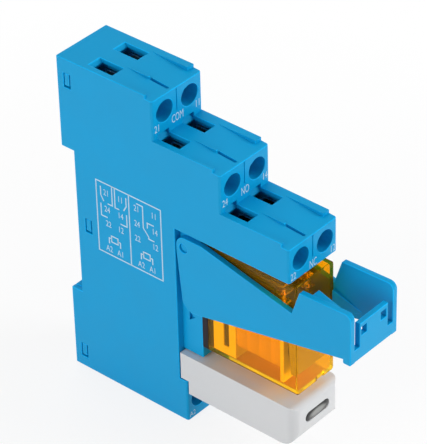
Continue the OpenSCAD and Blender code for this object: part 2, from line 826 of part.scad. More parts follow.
// Coil strip: one fork for the relay and one for the indicator module
module coil_strip(side) {
    y = face_y(COIL) + plate_sink;
    color(brass) {
        strip_plate(side, COIL, coil_pin_z + strip_t / 2);
        strip_run(side, y + strip_t, fork_root, coil_pin_z, fork_front);
        strip_run(side, y + strip_t, cavity_front + module_fork_l, blade_z, cavity_front + pin_lead);
    }
}

// Retaining clip

module arm_outline() {
    polygon(rounded([
        [clip_rear, clip_top, arm_r],
        [pivot.x - arm_l, clip_top, arm_r],
        [clip_notch.x, clip_notch.y, 0],
        [clip_box_rear, clip_box_top - box_slope, clip_soft_r],
        [-clip_front, clip_box_top, box_r],
        [-clip_front, clip_box_bottom, clip_soft_r],
        [clip_lip_rear, clip_box_bottom, clip_soft_r],
        [clip_lip_rear, clip_box_bottom + lip_h, 0],
        [clip_tail.x, clip_tail.y, tail_r],
        [clip_rear - heel.x, clip_tail.y - heel.y, tail_r],
        [clip_rear, pivot.y - arm_waist, tail_r]]));
}

// Snap wedge on the inner face of an arm, in front of the relay
module clip_wedge() {
    z_top = clip_notch.y - wedge_drop;
    z_low = z_top - wedge_h;
    tip = wedge_front - wedge_l;
    intersection() {
        translate([0, 0, z_low]) linear_extrude(wedge_h)
            polygon([[arm_x + weld, wedge_front], [arm_x - wedge_in, wedge_front],
                [arm_x, tip], [arm_x + weld, tip]]);
        side_slab([arm_x - wedge_in, arm_x + weld])
            polygon([[wedge_front, z_low], [wedge_front, z_top],
                [tip, z_top - wedge_slopes[1]], [tip, z_low + wedge_slopes[0]]]);
    }
}

// Finger web on top of the left arm, with a slit at its free end
module clip_finger() {
    translate([0, 0, clip_box_top - finger_drop - finger_h])
        linear_extrude(finger_h)
            difference() {
                polygon([[-arm_x - weld, finger_rear], [-arm_x + finger_in, finger_rear],
                    [-arm_x, finger_front], [-arm_x - weld, finger_front]]);
                translate([-arm_x, finger_rear - finger_slit[1]]) square(finger_slit + [0, cut]);
            }
}

module retaining_clip() {
    bridge = [-arm_x - weld, arm_x + weld];
    panel_y = [-clip_front, -clip_front + panel_t];
    color(socket_blue) {
        difference() {
            both_sides() side_slab([arm_x, clip_x]) arm_outline();
            translate([-clip_x - cut, pivot.x, pivot.y])
                rotate([0, 90, 0]) cylinder(d = pivot_d + 2 * pivot_play, h = 2 * (clip_x + cut));
        }
        span(bridge, panel_y, [clip_box_bottom + clip_soft_r, bridge_top]);
        span(bridge, [-clip_front + clip_soft_r, clip_lip_rear - clip_soft_r],
            [clip_box_bottom, clip_box_bottom + lip_h]);
        difference() {
            span(within(0, panel_w / 2), panel_y, [bridge_top - cut, panel_top]);
            both_sides()
                span(within(panel_hole_pitch / 2, panel_hole / 2), panel_y + [-cut, cut],
                    within(panel_top - panel_hole_drop, panel_hole_h / 2));
        }
        both_sides() clip_wedge();
        clip_finger();
    }
}

// Relay

// Outline of the relay across its depth, drawn in X and Z
module relay_outline(inset, r) {
    polygon(rounded([[-relay_x + inset, relay_bottom + inset, r], [relay_x - inset, relay_bottom + inset, r],
        [relay_x - inset, relay_top - inset, r], [-relay_x + inset, relay_top - inset, r]]));
}

module relay_base() {
    color(near_black)
        difference() {
            union() {
                depth_slab([base_y, -seat_front]) relay_outline(0, cover_r);
                depth_slab([works_y, base_y + cut]) relay_outline(cover_wall + seat_gap, cover_r);
            }
            for (side = [left, right], z = pin_heights)
                side_span(side, within(pin_x, pin_w / 2 + seat_gap), [works_y - cut, -seat_front + cut],
                    within(z, pin_t / 2 + seat_gap));
        }
}

// Clear amber shell with the small notch at the foot of its front face
module relay_cover() {
    front = -seat_front - relay_depth;
    color(amber)
        difference() {
            depth_slab([front, base_y]) relay_outline(0, cover_r);
            depth_slab([front + cover_wall, base_y + cut]) relay_outline(cover_wall, cover_r / 2);
            side_slab(nib_x)
                polygon([[front - cut, relay_bottom - cut], [front - cut, relay_bottom + nib_h],
                    [front, relay_bottom + nib_h], [front + nib_depth, relay_bottom + nib_h - nib_depth],
                    [front + nib_depth, relay_bottom - cut]]);
        }
}

module coil_bobbin() {
    top = yoke_z - seat_gap;
    x = works_x;
    color([0.93, 0.78, 0.30])
        difference() {
            union() {
                span([-x, x], [block_y + seat_gap, works_y], [works_bottom, top]);
                span([-x, x], [winding_y, works_y], [works_bottom, works_bottom + foot_h]);
                span([-x, x], [winding_y, spool_y - seat_gap], [works_bottom, top]);
                span([-x, x], about(winding_y - winding_l, -front_flange_t, 0),
                    [works_bottom + works_gap, top]);
                bar_y(bobbin_tube_d, 0, [winding_y - winding_l - cut / 2, winding_y + cut], coil_z);
            }
            bar_y(core_d + 2 * seat_gap, 0, [pole_y - cut, block_y + cut], coil_z);
            for (side = [left, right])
                side_span(side, within(pin_x, pin_w / 2 + seat_gap),
                    [works_y - coil_pin_root - works_gap, works_y + cut],
                    within(coil_pin_z, pin_t / 2 + seat_gap));
        }
}

module coil_winding() {
    color([0.93, 0.48, 0.10])
        difference() {
            bar_y(winding_d, 0, [winding_y - winding_l + seat_gap, winding_y - seat_gap], coil_z);
            bar_y(bobbin_tube_d + 2 * seat_gap, 0, [winding_y - winding_l - cut, winding_y + cut], coil_z);
        }
}

// Round core with its wider pole face, riveted into the yoke
module coil_core() {
    color(iron) {
        bar_y(core_d, 0, [pole_y, block_y], coil_z);
        bar_y(pole_d, 0, [pole_y, pole_y + pole_t - seat_gap], coil_z);
    }
}

// Bent iron yoke: a rear leg on the core and a long leg above the winding
module yoke() {
    x = works_x - works_gap;
    color(iron)
        difference() {
            union() {
                span([-x, x], [spool_y, block_y], [works_bottom + foot_h + seat_gap, yoke_top]);
                span([-x, x], [hinge_y + hinge_gap, block_y], [yoke_z, yoke_top]);
            }
            bar_y(core_d + 2 * thread_gap, 0, [spool_y - cut, block_y + cut], coil_z);
        }
}

// Hinged plate in front of the pole, with a leg that lifts the card. It stands open at rest.
module armature() {
    x = works_x - 2 * works_gap;
    inner = pole_y - armature_gap;
    color(steel)
        translate([0, hinge_y, hinge_z]) rotate([-armature_open, 0, 0]) translate([0, -hinge_y, -hinge_z]) {
            span([-x, x], [inner - armature_t, inner],
                [coil_z - pole_d / 2 - armature_over, leg_z + armature_t]);
            span([-x, x], [inner - armature_t, hinge_y + leg_l], [leg_z, leg_z + armature_t]);
        }
}

// Insulating card between the armature and the two moving springs
module actuator_card() {
    bar_top = spring_z - card_gap;
    color(off_white) {
        span(within(0, card_stem_w / 2), within(card_y, card_t / 2), [card_foot, bar_top]);
        span(within(0, works_x - card_bar_inset), within(card_y, card_t / 2),
            [bar_top - card_bar_h, bar_top]);
    }
}

// Spring blade with a rivet contact on both faces
module moving_spring(side) {
    x = (contact_x[0] + contact_x[1]) / 2;
    color(brass) {
        side_span(side, spring_x, [contact_y - blade_end, spring_root], [spring_z, spring_z + spring_t]);
        bar_z(contact_d, side * x, contact_y, [spring_z - rivet_low, spring_z + spring_t + rivet_high]);
    }
}

// Pin of a relay contact, from the socket fork through the base
module relay_pin(side, z, inner) {
    side_span(side, within(pin_x, pin_w / 2), [inner, -seat_front + pin_l], within(z, pin_t / 2));
}

// Pin that climbs past the closed contact and carries the root of a moving spring
module common_terminal(side) {
    y = [works_y - terminal_t, works_y - seat_gap];
    color(brass) {
        relay_pin(side, common_pin_z, y[0]);
        side_span(side, [common_riser[0], min(pin_x + pin_w, works_x)], y,
            within(common_pin_z, terminal_t / 2));
        side_span(side, common_riser, y, [common_pin_z - terminal_t / 2, spring_z]);
        side_span(side, [common_riser[0], spring_x[1]], y, within(spring_z, terminal_t));
    }
}

module fixed_terminal(side, z, button) {
    x = (contact_x[0] + contact_x[1]) / 2;
    color(brass) {
        relay_pin(side, z, works_y - terminal_t);
        side_span(side, contact_x, [contact_y - blade_end, works_y - seat_gap], within(z, fixed_t / 2));
        bar_z(contact_d, side * x, contact_y, [min(button, z), max(button, z)]);
    }
}

module closed_terminal(side) {
    fixed_terminal(side, closed_pin_z, spring_z - rivet_low - contact_gap);
}

module open_terminal(side) {
    fixed_terminal(side, open_pin_z, spring_z + spring_t + rivet_high + open_gap);
}

module coil_pin(side) {
    color(brass) relay_pin(side, coil_pin_z, works_y - coil_pin_root);
}

// Indicator module

module module_outline(inset) {
    w = inset;
    polygon(rounded([
        [module_rear, module_top - w, 0],
        [-module_front + w, module_top - w, max(module_edge_r - w, 0)],
        [-module_front + w, module_bottom + w, module_r - w],
        [module_step.x - w, module_bottom + w, 0],
        [module_step.x - w, module_step.y + w, 0],
        [module_rear, module_step.y + w, 0]]));
}

// Stadium outline of the window, in X and Z
module window_outline(grow) {
    r = window_h / 2 + grow;
    run = window_w / 2 - window_h / 2;
    translate([-run, window_z - r]) square([2 * run, 2 * r]);
    for (x = [-run, run])
        translate([x, window_z]) circle(r = r);
}

module module_housing() {
    inner = module_inner;
    color(off_white)
        difference() {
            intersection() {
                side_slab([-module_x, module_x]) module_outline(0);
                front_block(module_x, [-module_front, module_rear], [module_bottom, module_top],
                    module_corner_r);
            }
            difference() {
                intersection() {
                    side_slab([-inner, inner]) module_outline(module_wall);
                    front_block(inner, [module_wall - module_front, module_rear + cut],
                        [module_bottom, module_top], module_corner_r - module_wall);
                }
                span([-inner - cut, inner + cut], [module_rear, module_rear + cut],
                    [module_bottom, module_top]);
            }
            span([-inner, inner], [module_rear - cut, module_rear + cut],
                [module_step.y + module_wall, module_top - module_wall]);
            depth_slab([-module_front - cut, -module_front + module_wall + cut]) window_outline(0);
        }
}

// Plate that closes the rear of the module and carries its blades
module module_plug() {
    x = module_inner - seat_gap;
    color(off_white)
        difference() {
            span([-x, x], [module_rear - plug_depth, module_rear],
                [module_step.y + module_wall + seat_gap, module_top - module_wall - seat_gap]);
            for (side = [left, right])
                side_span(side, within(pin_x, blade_w / 2 + seat_gap),
                    [module_rear - plug_depth - cut, module_rear + cut],
                    within(blade_z, blade_t / 2 + seat_gap));
        }
}

// Flat blade that plugs into the coil strip and runs down to the board
module module_blade(side) {
    x = within(pin_x, blade_w / 2);
    foot = module_rear - plug_depth - blade_foot;
    color(brass) {
        side_span(side, x, [foot, blade_tip], within(blade_z, blade_t / 2));
        side_span(side, x, [foot, foot + blade_t], [board_z + board_t, blade_z]);
    }
}

module module_board() {
    x = module_inner - board_gap;
    color([0.16, 0.38, 0.22])
        span([-x, x], [-module_front + module_wall + board_front, module_step.x - module_wall - board_gap],
            [board_z, board_z + board_t]);
}

// Round lamp that looks out through the window, standing on two legs
module module_led() {
    front = -module_front + module_wall + led_gap;
    rear = front + led_l;
    color([0.35, 0.80, 0.40]) {
        bar_y(led_d, 0, [front, rear], window_z);
        bar_y(led_d + led_rim, 0, [rear - cut, rear], window_z);
        for (side = [left, right])
            span(within(side * led_d / 3, led_leg / 2), [rear - led_leg, rear],
                [board_z + board_t, window_z]);
    }
}

// Diode lying across the board on its two leads
module module_diode() {
    y = (module_rear - module_front) / 2;
    z = board_z + board_t + diode_d / 2;
    color(near_black) {
        translate([0, y, z]) rotate([0, 90, 0]) cylinder(d = diode_d, h = diode_l, center = true);
        span(within(0, diode_l / 2 + diode_lead), within(y, led_leg / 2), [board_z + board_t, z]);
    }
}

module module_window() {
    color([0.45, 0.47, 0.48])
        depth_slab([-module_front + window_inset, -module_front + module_wall]) window_outline(-seat_gap / 2);
}

socket_body();
rear_cover();
rail_latch();
terminal_screw(left, COMMON);  // screw_21
terminal_screw(right, COMMON);  // screw_11
terminal_screw(left, OPEN);  // screw_24
terminal_screw(right, OPEN);  // screw_14
terminal_screw(left, CLOSED);  // screw_22
terminal_screw(right, CLOSED);  // screw_12
terminal_screw(left, COIL);  // screw_a2
terminal_screw(right, COIL);  // screw_a1
clamp_cage(left, COMMON);  // cage_21
clamp_cage(right, COMMON);  // cage_11
clamp_cage(left, OPEN);  // cage_24
clamp_cage(right, OPEN);  // cage_14
clamp_cage(left, CLOSED);  // cage_22
clamp_cage(right, CLOSED);  // cage_12
clamp_cage(left, COIL);  // cage_a2
clamp_cage(right, COIL);  // cage_a1
common_strip(left);  // strip_21
common_strip(right);  // strip_11
open_strip(left);  // strip_24
open_strip(right);  // strip_14
closed_strip(left);  // strip_22
closed_strip(right);  // strip_12
coil_strip(left);  // strip_a2
coil_strip(right);  // strip_a1
retaining_clip();
relay_base();
relay_cover();
coil_bobbin();
coil_winding();
coil_core();
yoke();
armature();
actuator_card();
moving_spring(left);  // moving_spring_2
moving_spring(right);  // moving_spring_1
common_terminal(left);  // common_terminal_2
common_terminal(right);  // common_terminal_1
closed_terminal(left);  // closed_terminal_2
closed_terminal(right);  // closed_terminal_1
open_terminal(left);  // open_terminal_2
open_terminal(right);  // open_terminal_1
coil_pin(left);  // coil_pin_2
coil_pin(right);  // coil_pin_1
module_housing();
module_plug();
module_blade(left);  // module_blade_2
module_blade(right);  // module_blade_1
module_board();
module_led();
module_diode();
module_window();
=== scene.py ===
"""Dresses a two-pole interface relay: moulded, clear and metal finishes, printed marks and a stage."""

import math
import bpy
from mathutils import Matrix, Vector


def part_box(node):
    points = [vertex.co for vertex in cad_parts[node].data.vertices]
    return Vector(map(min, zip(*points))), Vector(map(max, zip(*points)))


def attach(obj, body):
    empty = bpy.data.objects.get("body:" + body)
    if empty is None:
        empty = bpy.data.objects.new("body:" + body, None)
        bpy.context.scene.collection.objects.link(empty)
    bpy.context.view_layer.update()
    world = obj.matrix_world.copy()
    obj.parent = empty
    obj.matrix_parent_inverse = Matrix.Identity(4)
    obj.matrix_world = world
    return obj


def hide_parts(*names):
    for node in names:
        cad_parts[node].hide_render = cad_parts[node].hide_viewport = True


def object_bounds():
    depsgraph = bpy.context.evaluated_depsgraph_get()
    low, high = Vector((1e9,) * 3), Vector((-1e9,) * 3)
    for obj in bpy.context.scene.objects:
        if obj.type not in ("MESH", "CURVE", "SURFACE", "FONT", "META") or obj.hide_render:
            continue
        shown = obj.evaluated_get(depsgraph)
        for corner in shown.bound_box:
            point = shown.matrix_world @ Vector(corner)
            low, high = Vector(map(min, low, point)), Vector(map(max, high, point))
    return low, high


bl_info = {
    "name": "Interface Relay Dressing",
    "version": (1, 0, 0),
    "blender": (4, 5, 0),
    "location": "View3D > Sidebar > Relay",
    "description": "Finishes, printed marks and studio for a plug-in interface relay in its socket",
    "category": "Object",
}

import bmesh
import bpy
from bpy.props import FloatProperty, FloatVectorProperty, PointerProperty
from bpy.types import Operator, Panel, PropertyGroup
from mathutils import Matrix, Quaternion, Vector
from mathutils.bvhtree import BVHTree

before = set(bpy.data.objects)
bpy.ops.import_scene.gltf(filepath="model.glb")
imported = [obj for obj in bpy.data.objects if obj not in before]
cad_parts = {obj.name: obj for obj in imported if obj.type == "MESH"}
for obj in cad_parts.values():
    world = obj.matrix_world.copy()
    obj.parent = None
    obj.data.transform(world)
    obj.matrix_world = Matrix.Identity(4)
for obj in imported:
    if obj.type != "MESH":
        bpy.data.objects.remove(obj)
cad_low, cad_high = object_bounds()

MM = 0.001
RIGHT, FORWARD, UP = Vector((1.0, 0.0, 0.0)), Vector((0.0, -1.0, 0.0)), Vector((0.0, 0.0, 1.0))

# Terminals, and the two sets of contacts, pins and blades
CONTACT_ENDS = ("21", "11", "24", "14", "22", "12")
COIL_ENDS = ("a2", "a1")
LEFT_ENDS = ("21", "24", "22", "a2")
STEP_WORDS = (("COM", "21"), ("NO", "24"), ("NC", "22"))
SETS = ("1", "2")

# Mending of meshes
MERGE_GAP = 0.002 * MM
SLIVER = 0.001 * MM
FLAT_ANGLE = math.radians(0.6)

# Rounding of edges: an outer edge is open to a ray that leaves it, and has room on both of its faces
OUTER_ANGLE = math.radians(30.0)
RAY_START, RAY_REACH = 0.02 * MM, 30.0 * MM
SOCKET_ROOM, CLIP_ROOM, COVER_ROOM = 1.0 * MM, 0.5 * MM, 1.5 * MM
ROUND_STEPS = 3
SOFT_ANGLE = math.radians(32.0)
SHARP_ANGLE = math.radians(35.0)
NORMAL_WEIGHT = 60

# Painted highlight on the rounded edges, where they catch light: its attribute, how much paler it is,
# and its least and greatest share
EDGE_HIGHLIGHT_ATTRIBUTE = "painted_edge_highlight"
HIGHLIGHT_GAIN = 0.38
HIGHLIGHT_LOW, HIGHLIGHT_HIGH = 0.5, 1.0

# Textures: where most of a noise lies, and stretches that draw its lines out along an axis
NOISE_LOW, NOISE_HIGH = 0.3, 0.7
ALONG_X, ALONG_Y, ALONG_Z = (0.05, 1.0, 1.0), (1.0, 0.05, 1.0), (1.0, 1.0, 0.05)
CLIP_FLOW, COVER_FLOW = (1.0, 0.4, 1.0), (1.0, 0.3, 1.0)

# Taped winding, and window of the module
CORNER_STEPS, BORE_STEPS = 6, 28
RIM_GAP = 0.01 * MM
LENS_RINGS = 6

# Marks on the steps: distance from the middle, drop below the screw, and narrowing of the letters
NUMBER_SIDE, NUMBER_DROP, NUMBER_SQUEEZE = 6.45 * MM, 3.35 * MM, 0.72
WORD_DROP, WORD_SQUEEZE = 3.45 * MM, 0.58
COIL_SIDE, COIL_DROP, COIL_SQUEEZE = 6.4 * MM, 3.7 * MM, 0.9
CAPITAL_SHARE = 0.7
LETTER_STEPS = 3


def rectangle(left, right, low, high):
    """Corners of a closed rectangle."""
    return [(left, low), (left, high), (right, high), (right, low), (left, low)]


# The printed diagram, in millimetres forward and up from the frame's origin
DIAGRAM_LINES = (
    rectangle(6.2, 24.9, -5.6, 13.1),
    [(15.7, -5.6), (15.7, 13.1)],
    [(17.9, 11.8), (19.7, 11.8), (19.7, 6.2), (21.2, 4.4)],
    [(21.2, 4.4), (21.2, 3.9), (22.8, 3.9)],
    [(20.9, 6.6), (20.9, 8.0), (22.8, 8.0)],
    [(7.5, 11.9), (7.5, 9.6), (8.3, 8.2)],
    [(7.4, 7.4), (7.4, 4.2), (9.2, 4.2)],
    [(10.8, 13.1), (10.8, 8.0), (9.4, 8.0)],
    [(11.6, 13.1), (11.6, 7.9), (12.8, 7.9)],
    [(14.9, 11.9), (14.9, 9.6), (14.1, 8.2)],
    [(14.9, 7.4), (14.9, 4.2), (13.0, 4.2)],
)
DIAGRAM_WORDS = (
    ("21", 9.1, 10.6), ("11", 13.2, 10.6), ("21", 17.9, 10.4), ("11", 22.9, 10.6),
    ("24", 9.2, 6.3), ("14", 13.1, 6.3), ("24", 17.9, 6.4), ("14", 23.0, 6.4),
    ("22", 9.4, 2.5), ("12", 13.0, 2.5), ("22", 17.9, 2.5), ("12", 23.0, 2.4),
    ("A2", 9.3, -4.1), ("A1", 12.6, -4.1), ("A2", 18.7, -4.1), ("A1", 22.0, -4.1),
)
DIAGRAM_SQUEEZE = 0.76

# The coil's sign in the diagram: its two middles, then the box and the leads beside it
SIGN_MIDDLES = (11.0, 20.4)
SIGN_HALF, SIGN_LOW, SIGN_HIGH = 0.95, -1.9, -0.3
LEAD_HALF, LEAD_LOW, LEAD_HIGH = 1.65, -2.6, -1.1

# Lamps: name, place, width, power, and whether gloss shows the lamp
LAMPS = (
    ("key lamp", (-1.05, 0.15, 0.42), 0.6, 5.3, True),
    ("front lamp", (0.60, -0.90, 0.40), 0.6, 8.1, False),
    ("top lamp", (0.35, 0.55, 1.00), 0.8, 4.0, False),
)

# Studio: soft light from all round, walls and ceiling as they are seen (rise of the ray, then strength),
# and the floor's own white (distance from the middle, then share)
WHITE = (1.0, 1.0, 1.0, 1.0)
SOFT_LIGHT = 0.34
WALLS, CEILING = (0.20, 1.0), (0.50, 0.25)
FLOOR_NEAR, FLOOR_FAR = (0.05, 0.83), (0.16, 1.0)
FLOOR_SIZE = 4.0
FLOOR_GAP = 0.1 * MM

# Camera: place, line of sight and roll, then lens and sensor in millimetres
CAMERA_PLACE, CAMERA_LINE = (-0.3703, -0.3624, 0.36305), (0.6081, 0.5411, -0.5809)
CAMERA_ROLL = math.radians(-1.56)
LENS_LENGTH, SENSOR_WIDTH = 231.3, 36.0
VIEW_NEAR, VIEW_FAR = 0.02, 20.0


def tint(name, text, default):
    """A colour that a user can change, as linear values."""
    return FloatVectorProperty(
        name=name, description=text, default=default, subtype="COLOR", size=3, min=0.0, max=1.0
    )


def length(name, text, default):
    """A length that a user can change, in metres."""
    return FloatProperty(
        name=name, description=text, default=default, min=0.0, precision=5,
        subtype="DISTANCE", unit="LENGTH"
    )


class RelayColours(PropertyGroup):
    """Colours of the finishes, as linear values"""

    socket_blue: tint("Socket blue", "Moulded socket, rear cover and clip", (0.002, 0.352, 0.690))
    latch_black: tint("Latch black", "Sliding foot at the rear", (0.016, 0.016, 0.018))
    amber: tint("Amber", "Clear cover of the relay", (1.0, 0.61, 0.015))
    base_black: tint("Base black", "Base of the relay", (0.014, 0.011, 0.015))
    bobbin_yellow: tint("Bobbin yellow", "Bobbin inside the relay", (0.99, 0.95, 0.40))
    winding_orange: tint("Winding orange", "Taped winding", (0.75, 0.50, 0.05))
    iron_grey: tint("Iron grey", "Yoke and core", (0.12, 0.11, 0.10))
    plated_steel: tint("Plated steel", "Screws, cages, armature and blades", (0.62, 0.63, 0.65))
    contact_brass: tint("Contact brass", "Strips, pins and springs", (0.76, 0.56, 0.24))
    card_white: tint("Card white", "Insulating card of the relay", (0.72, 0.72, 0.70))
    module_white: tint("Module white", "Housing of the indicator module", (0.700, 0.705, 0.712))
    window_smoke: tint("Window smoke", "Rim of the module's oval window", (0.035, 0.036, 0.036))
    # Colour of the painted highlight in the middle of the window
    window_highlight: tint("Window pale", "Middle of the module's oval window", (0.50, 0.51, 0.49))
    board_green: tint("Board green", "Board in the module", (0.02, 0.12, 0.04))
    lamp_green: tint("Lamp green", "Lamp in the module", (0.10, 0.62, 0.14))
    diode_black: tint("Diode black", "Diode in the module", (0.02, 0.02, 0.022))
    print_pale: tint("Print", "Printed numbers, words and lines", (0.50, 0.68, 0.80))
    floor_pale: tint("Floor", "Studio floor", (0.94, 0.94, 0.94))


class RelaySizes(PropertyGroup):
    """Sizes of the soft edges, the printed marks, the window and the taped winding"""

    socket_edge: length("Socket edge", "Rounding of the socket's edges", 0.18 * MM)
    clip_edge: length("Clip edge", "Rounding of the clip's edges", 0.18 * MM)
    cover_edge: length("Cover edge", "Rounding of the edges of the relay's clear cover", 0.35 * MM)
    module_edge: length("Module edge", "Rounding of the module's edges", 0.45 * MM)
    small_edge: length("Small edge", "Rounding of the small pieces", 0.06 * MM)
    print_t: length("Print thickness", "Thickness of the print, half of it in the plastic", 0.02 * MM)
    print_line: length("Print line", "Width of a printed line", 0.30 * MM)
    number_h: length("Number height", "Height of the contacts' terminal numbers", 1.75 * MM)
    word_h: length("Word height", "Height of the contact words", 2.0 * MM)
    coil_h: length("Coil mark height", "Height of the coil's terminal marks", 1.3 * MM)
    diagram_h: length("Diagram number height", "Height of the numbers in the diagram", 1.55 * MM)
    lens_rise: length("Lens rise", "How far the window of the module is domed", 0.30 * MM)
    screw_sink: length("Screw sink", "Depth of a screw head behind the face of its step", 3.8 * MM)
    coil_corner: length("Coil corner", "Rounding of the corners of the taped winding", 2.2 * MM)
    coil_rise: length("Coil rise", "How much taller the taped winding is than its wire", 0.8 * MM)
    coil_bore: length("Coil bore", "Bore of the winding round the tube of the bobbin", 6.32 * MM)


# Finishes


def new_finish(name):
    """A material with its nodes, links and surface shader."""
    material = bpy.data.materials.new(name)
    material.use_nodes = True
    tree = material.node_tree
    return material, tree.nodes, tree.links, tree.nodes["Principled BSDF"]


def object_place(nodes):
    """The piece's own coordinates."""
    return nodes.new("ShaderNodeTexCoord").outputs["Object"]


def object_noise(nodes, links, scale, detail, stretch=None):
    """Noise on the piece's own coordinates, drawn out along an axis where a stretch is given."""
    place = object_place(nodes)
    if stretch is not None:
        mapping = nodes.new("ShaderNodeMapping")
        mapping.inputs["Scale"].default_value = stretch
        links.new(place, mapping.inputs["Vector"])
        place = mapping.outputs["Vector"]
    noise = nodes.new("ShaderNodeTexNoise")
    noise.inputs["Scale"].default_value = scale
    noise.inputs["Detail"].default_value = detail
    links.new(place, noise.inputs["Vector"])
    return noise


def object_bands(nodes, links, scale, detail, distortion, profile):
    """Bands that follow each other along the piece from front to rear."""
    bands = nodes.new("ShaderNodeTexWave")
    bands.bands_direction = "Y"
    bands.wave_profile = profile
    bands.inputs["Scale"].default_value = scale
    bands.inputs["Detail"].default_value = detail
    bands.inputs["Distortion"].default_value = distortion
    links.new(object_place(nodes), bands.inputs["Vector"])
    return bands


def map_value(nodes, links, value, low, high, curve="LINEAR"):
    """A value moved to another range: low and high each pair what goes in with what comes out."""
    span = nodes.new("ShaderNodeMapRange")
    span.interpolation_type = curve
    span.inputs["From Min"].default_value, span.inputs["To Min"].default_value = low
    span.inputs["From Max"].default_value, span.inputs["To Max"].default_value = high
    links.new(value, span.inputs["Value"])
    return span.outputs["Result"]


def join_values(nodes, links, operation, first, second):
    """Two values joined into one."""
    joined = nodes.new("ShaderNodeMath")
    joined.operation = operation
    links.new(first, joined.inputs[0])
    links.new(second, joined.inputs[1])
    return joined.outputs[0]


def vector_length(nodes, links, vector):
    """Length of a vector."""
    measured = nodes.new("ShaderNodeVectorMath")
    measured.operation = "LENGTH"
    links.new(vector, measured.inputs[0])
    return measured.outputs["Value"]


def shade(colour, share):
    """A colour made lighter or darker by a share."""
    return tuple(min(1.0, part * share) for part in colour) + (1.0,)


def mix_colour(nodes, links, shader, factor, first, second):
    """Surface colour between two others."""
    mix = nodes.new("ShaderNodeMix")
    mix.data_type = "RGBA"
    mix.inputs["A"].default_value = first
    mix.inputs["B"].default_value = second
    links.new(factor, mix.inputs["Factor"])
    links.new(mix.outputs["Result"], shader.inputs["Base Color"])
    return mix


def mix_surface(nodes, links, share, first, second, output):
    """Surface between two shaders."""
    mix = nodes.new("ShaderNodeMixShader")
    links.new(share, mix.inputs[0])
    links.new(first.outputs[0], mix.inputs[1])
    links.new(second.outputs[0], mix.inputs[2])
    links.new(mix.outputs[0], nodes[output].inputs["Surface"])


def vary_colour(nodes, links, shader, texture, colour, spread):
    """Colour that drifts a little either side of its tone."""
    dark, light = shade(colour, 1.0 - spread), shade(colour, 1.0 + spread)
    return mix_colour(nodes, links, shader, texture.outputs["Fac"], dark, light)


def vary_roughness(nodes, links, shader, noise, low, high):
    """Roughness that follows the same drift."""
    drift = map_value(nodes, links, noise.outputs["Fac"], (NOISE_LOW, low), (NOISE_HIGH, high))
    links.new(drift, shader.inputs["Roughness"])


def add_bump(nodes, links, shader, texture, strength, depth):
    """Fine relief from a texture."""
    bump = nodes.new("ShaderNodeBump")
    bump.inputs["Strength"].default_value = strength
    bump.inputs["Distance"].default_value = depth
    links.new(texture.outputs["Fac"], bump.inputs["Height"])
    links.new(bump.outputs["Normal"], shader.inputs["Normal"])


def paint_edge_highlight(nodes, links, shader, noise, tone, colour):
    """Painted highlight: paler colour on the rounded edges, where they catch light, stronger here and
    weaker there.
    """
    edge = nodes.new("ShaderNodeAttribute")
    edge.attribute_name = EDGE_HIGHLIGHT_ATTRIBUTE
    low, high = (NOISE_LOW, HIGHLIGHT_LOW), (NOISE_HIGH, HIGHLIGHT_HIGH)
    share = map_value(nodes, links, noise.outputs["Fac"], low, high)
    painted_highlight = join_values(nodes, links, "MULTIPLY", edge.outputs["Fac"], share)
    plain, highlight_colour = shade(colour, 1.0), shade(colour, 1.0 + HIGHLIGHT_GAIN)
    mix = mix_colour(nodes, links, shader, painted_highlight, plain, highlight_colour)
    links.new(tone.outputs["Result"], mix.inputs["A"])


def moulded(name, colour, roughness, spread=0.05, flow=None, with_edge_highlight=False):
    """Moulded plastic: faint flow in its colour and a fine spark-eroded grain."""
    material, nodes, links, shader = new_finish(name)
    shader.inputs["Specular IOR Level"].default_value = 0.18
    drift = object_noise(nodes, links, scale=85.0, detail=3.0, stretch=flow)
    tone = vary_colour(nodes, links, shader, drift, colour, spread)
    # Painted highlight on the rounded edges, where they catch light
    if with_edge_highlight:
        paint_edge_highlight(nodes, links, shader, drift, tone, colour)
    vary_roughness(nodes, links, shader, drift, low=roughness - 0.05, high=roughness + 0.06)
    grain = object_noise(nodes, links, scale=5200.0, detail=2.0)
    add_bump(nodes, links, shader, grain, strength=0.10, depth=0.03 * MM)
    return material


def plated(name, colour, roughness, stretch):
    """Plated or drawn metal with fine lines along one axis."""
    material, nodes, links, shader = new_finish(name)
    shader.inputs["Metallic"].default_value = 1.0
    lines = object_noise(nodes, links, scale=900.0, detail=4.0, stretch=stretch)
    vary_colour(nodes, links, shader, lines, colour, spread=0.12)
    vary_roughness(nodes, links, shader, lines, low=roughness - 0.08, high=roughness + 0.10)
    add_bump(nodes, links, shader, lines, strength=0.15, depth=0.01 * MM)
    return material


def clear_amber(name, colour):
    """Clear moulded cover with faint flow lines in its surface, which lets tinted light in."""
    material, nodes, links, shader = new_finish(name)
    shader.inputs["Transmission Weight"].default_value = 0.95
    shader.inputs["IOR"].default_value = 1.17
    drift = object_noise(nodes, links, scale=120.0, detail=2.0)
    vary_colour(nodes, links, shader, drift, colour, spread=0.03)
    vary_roughness(nodes, links, shader, drift, low=0.01, high=0.04)
    flow = object_noise(nodes, links, scale=260.0, detail=1.0, stretch=COVER_FLOW)
    add_bump(nodes, links, shader, flow, strength=0.06, depth=0.05 * MM)
    light_in = nodes.new("ShaderNodeBsdfTransparent")
    light_in.inputs["Color"].default_value = shade([math.sqrt(part) for part in colour], 1.0)
    shadow = nodes.new("ShaderNodeLightPath").outputs["Is Shadow Ray"]
    mix_surface(nodes, links, shadow, shader, light_in, "Material Output")
    return material


